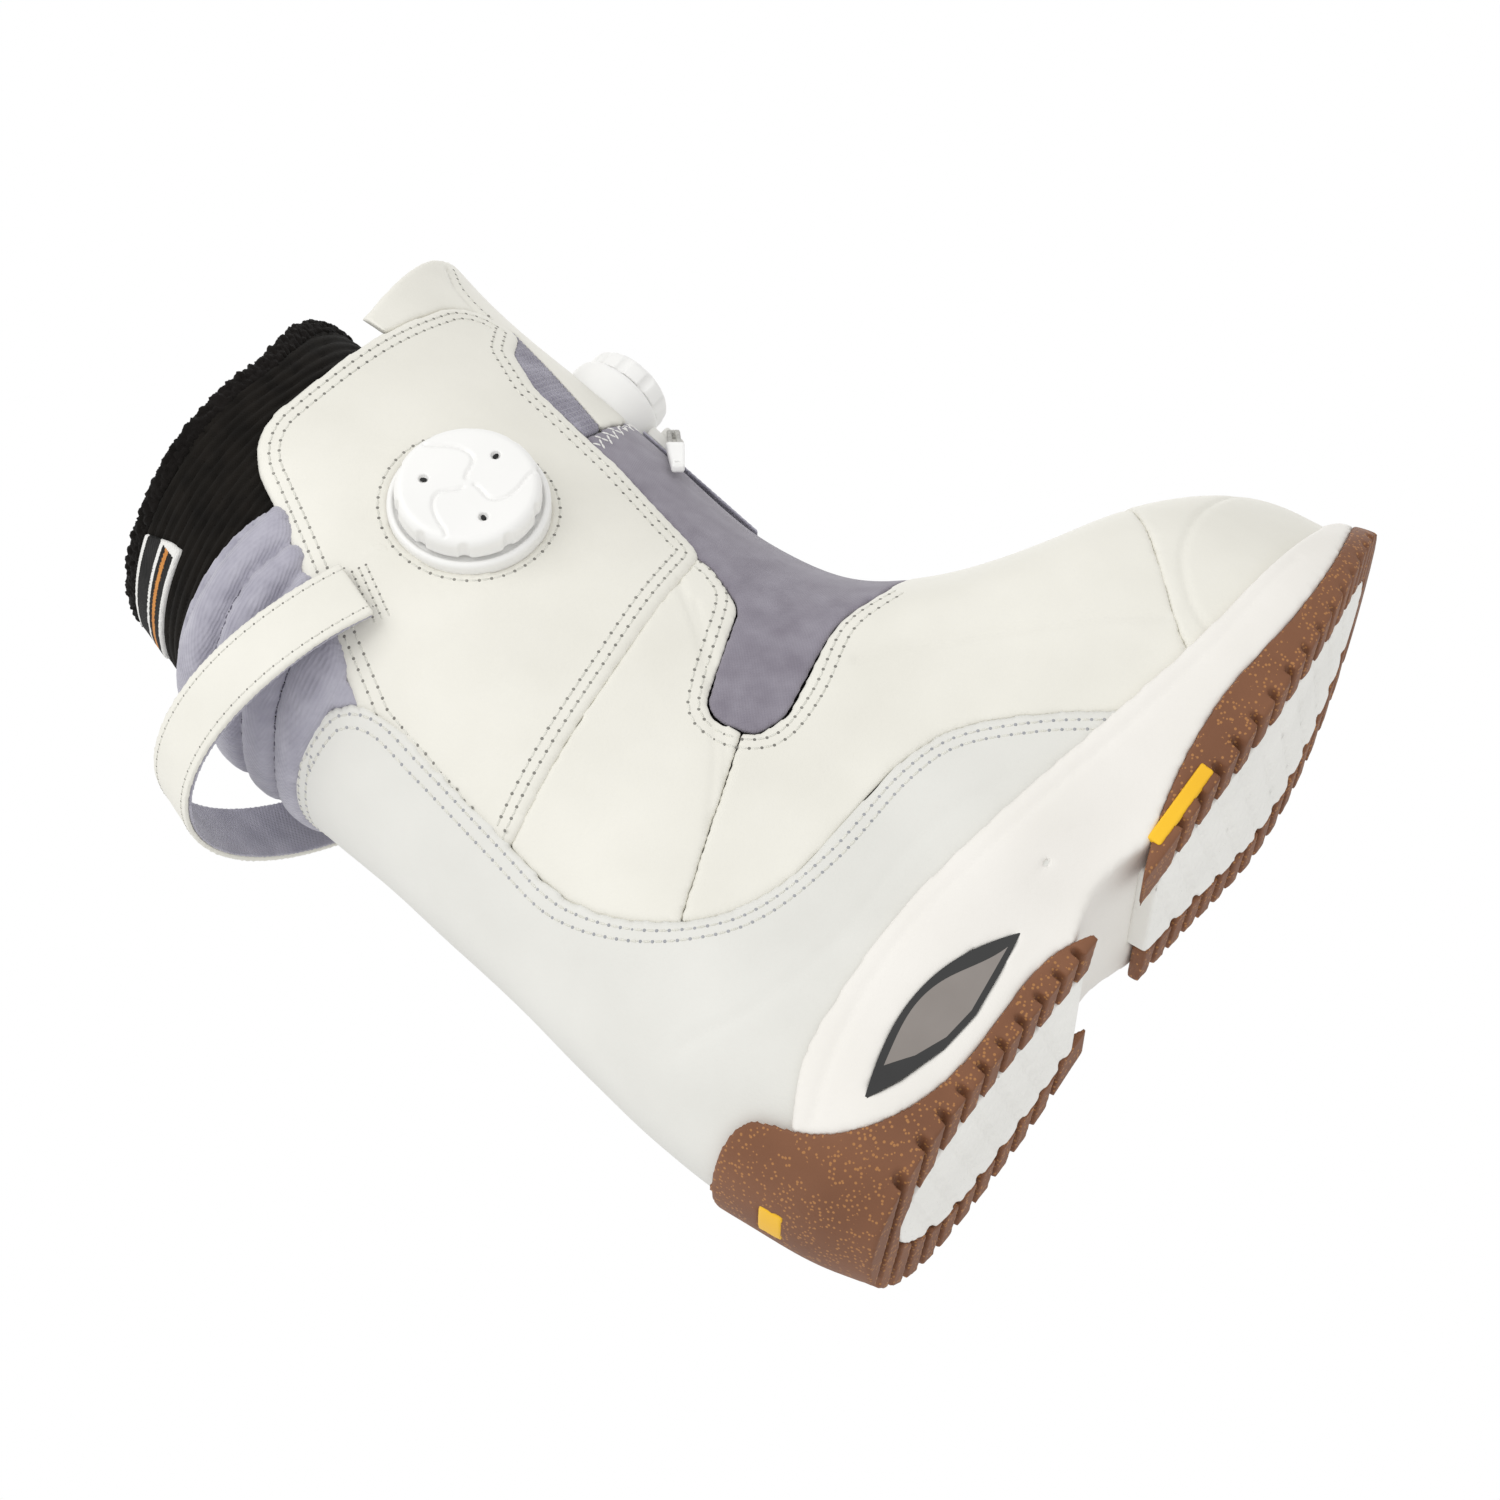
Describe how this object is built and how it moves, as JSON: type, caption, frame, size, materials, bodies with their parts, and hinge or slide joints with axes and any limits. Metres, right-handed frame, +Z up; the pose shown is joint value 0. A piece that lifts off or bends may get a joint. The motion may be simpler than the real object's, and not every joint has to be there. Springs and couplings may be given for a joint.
{
  "type": "snowboard boot",
  "caption": "Soft right-foot snowboard boot with two tightening dials, zipped stretch gaiter, pull loop, padded liner and a two-part rubber tread.",
  "frame": {"origin": "on the ground under the middle of the heel", "axes": "+X to the toe, +Y to the inner side of the foot, +Z up"},
  "size_m": [0.2946, 0.121, 0.311],
  "materials": {
    "gum_rubber": "matte",
    "white_rubber": "matte",
    "yellow_inlay": "satin",
    "midsole_foam": "matte",
    "window_trim": "gloss",
    "window_lens": "gloss",
    "shank_plastic": "matte",
    "board": "matte",
    "leather": "fine grain",
    "stretch_fabric": "woven",
    "lavender_fabric": "knit",
    "knit": "knit",
    "white_plastic": "satin",
    "drive_plastic": "satin",
    "zip_metal": "satin",
    "cord": "braided",
    "liner_foam": "felt",
    "corduroy": "ribbed",
    "fleece": "pile",
    "patch": "woven",
    "stiffener": "matte",
    "insole_foam": "felt"
  },
  "bodies": {
    "boot": {"heel_outsole": "gum_rubber", "forefoot_outsole": "gum_rubber", "heel_tread_pad": "white_rubber", "forefoot_tread_pad": "white_rubber", "heel_inlay": "yellow_inlay", "forefoot_inlay": "yellow_inlay", "midsole": "midsole_foam", "window_rim": "window_trim", "window_lens": "window_lens", "shank": "shank_plastic", "heel_panel": "leather", "cuff_outer": "leather", "cuff_inner": "leather", "quarter_outer": "leather", "quarter_inner": "leather", "vamp": "leather", "toe_cap": "leather", "gaiter": "stretch_fabric", "tendon_panel": "lavender_fabric", "side_dial_base": "white_plastic", "loop_patch_outer": "leather", "loop_patch_inner": "leather", "heel_counter": "stiffener", "backstay": "stiffener", "toe_puff": "stiffener", "lasting_board": "board", "liner_boot": "liner_foam", "liner_collar": "corduroy", "collar_rim": "fleece", "footbed": "insole_foam", "collar_patch": "patch"},
    "tongue": {"tongue_panel": "leather", "tongue_board": "stiffener", "knit_strip": "knit", "front_dial_base": "white_plastic", "zip_tape": "stretch_fabric", "zip_teeth": "zip_metal"},
    "side_spool": {"side_dial_spool": "drive_plastic"},
    "side_knob": {"side_dial_knob": "white_plastic"},
    "front_spool": {"front_dial_spool": "drive_plastic"},
    "front_knob": {"front_dial_knob": "white_plastic"},
    "zip_runner": {"zip_slider": "zip_metal"},
    "zip_pull": {"puller_cord": "cord", "puller_tab": "white_plastic"},
    "loop": {"pull_loop": "leather", "pull_loop_lining": "lavender_fabric"}
  },
  "joints": [
    {"name": "tongue_tilt", "type": "hinge", "parent": "boot", "child": "tongue", "pos_m": [0.108, 0, 0.15], "axis": [0, 1, 0], "range_deg": [0, 14], "deforming": ["gaiter"]},
    {"name": "side_dial_turn", "type": "hinge", "parent": "boot", "child": "side_spool", "pos_m": [0.065, -0.057, 0.224], "axis": [0, -1, 0], "continuous": true},
    {"name": "side_dial_pop", "type": "slide", "parent": "side_spool", "child": "side_knob", "axis": [0, -1, 0], "range_m": [0, 0.004]},
    {"name": "front_dial_turn", "type": "hinge", "parent": "tongue", "child": "front_spool", "pos_m": [0.155, 0, 0.24], "axis": [1, 0, 0], "continuous": true},
    {"name": "front_dial_pop", "type": "slide", "parent": "front_spool", "child": "front_knob", "axis": [1, 0, 0], "range_m": [0, 0.004]},
    {"name": "zip_slide", "type": "slide", "parent": "tongue", "child": "zip_runner", "axis": [-0.176, 0, -0.9844], "range_m": [0, 0.032]},
    {"name": "puller_swing", "type": "hinge", "parent": "zip_runner", "child": "zip_pull", "pos_m": [0.15316, 0, 0.217], "axis": [0, -1, 0], "range_deg": [0, 40]},
    {"name": "loop_swing", "type": "hinge", "parent": "boot", "child": "loop", "pos_m": [0.0215, 0, 0.23], "axis": [0, 1, 0], "range_deg": [-12, 30]}
  ]
}
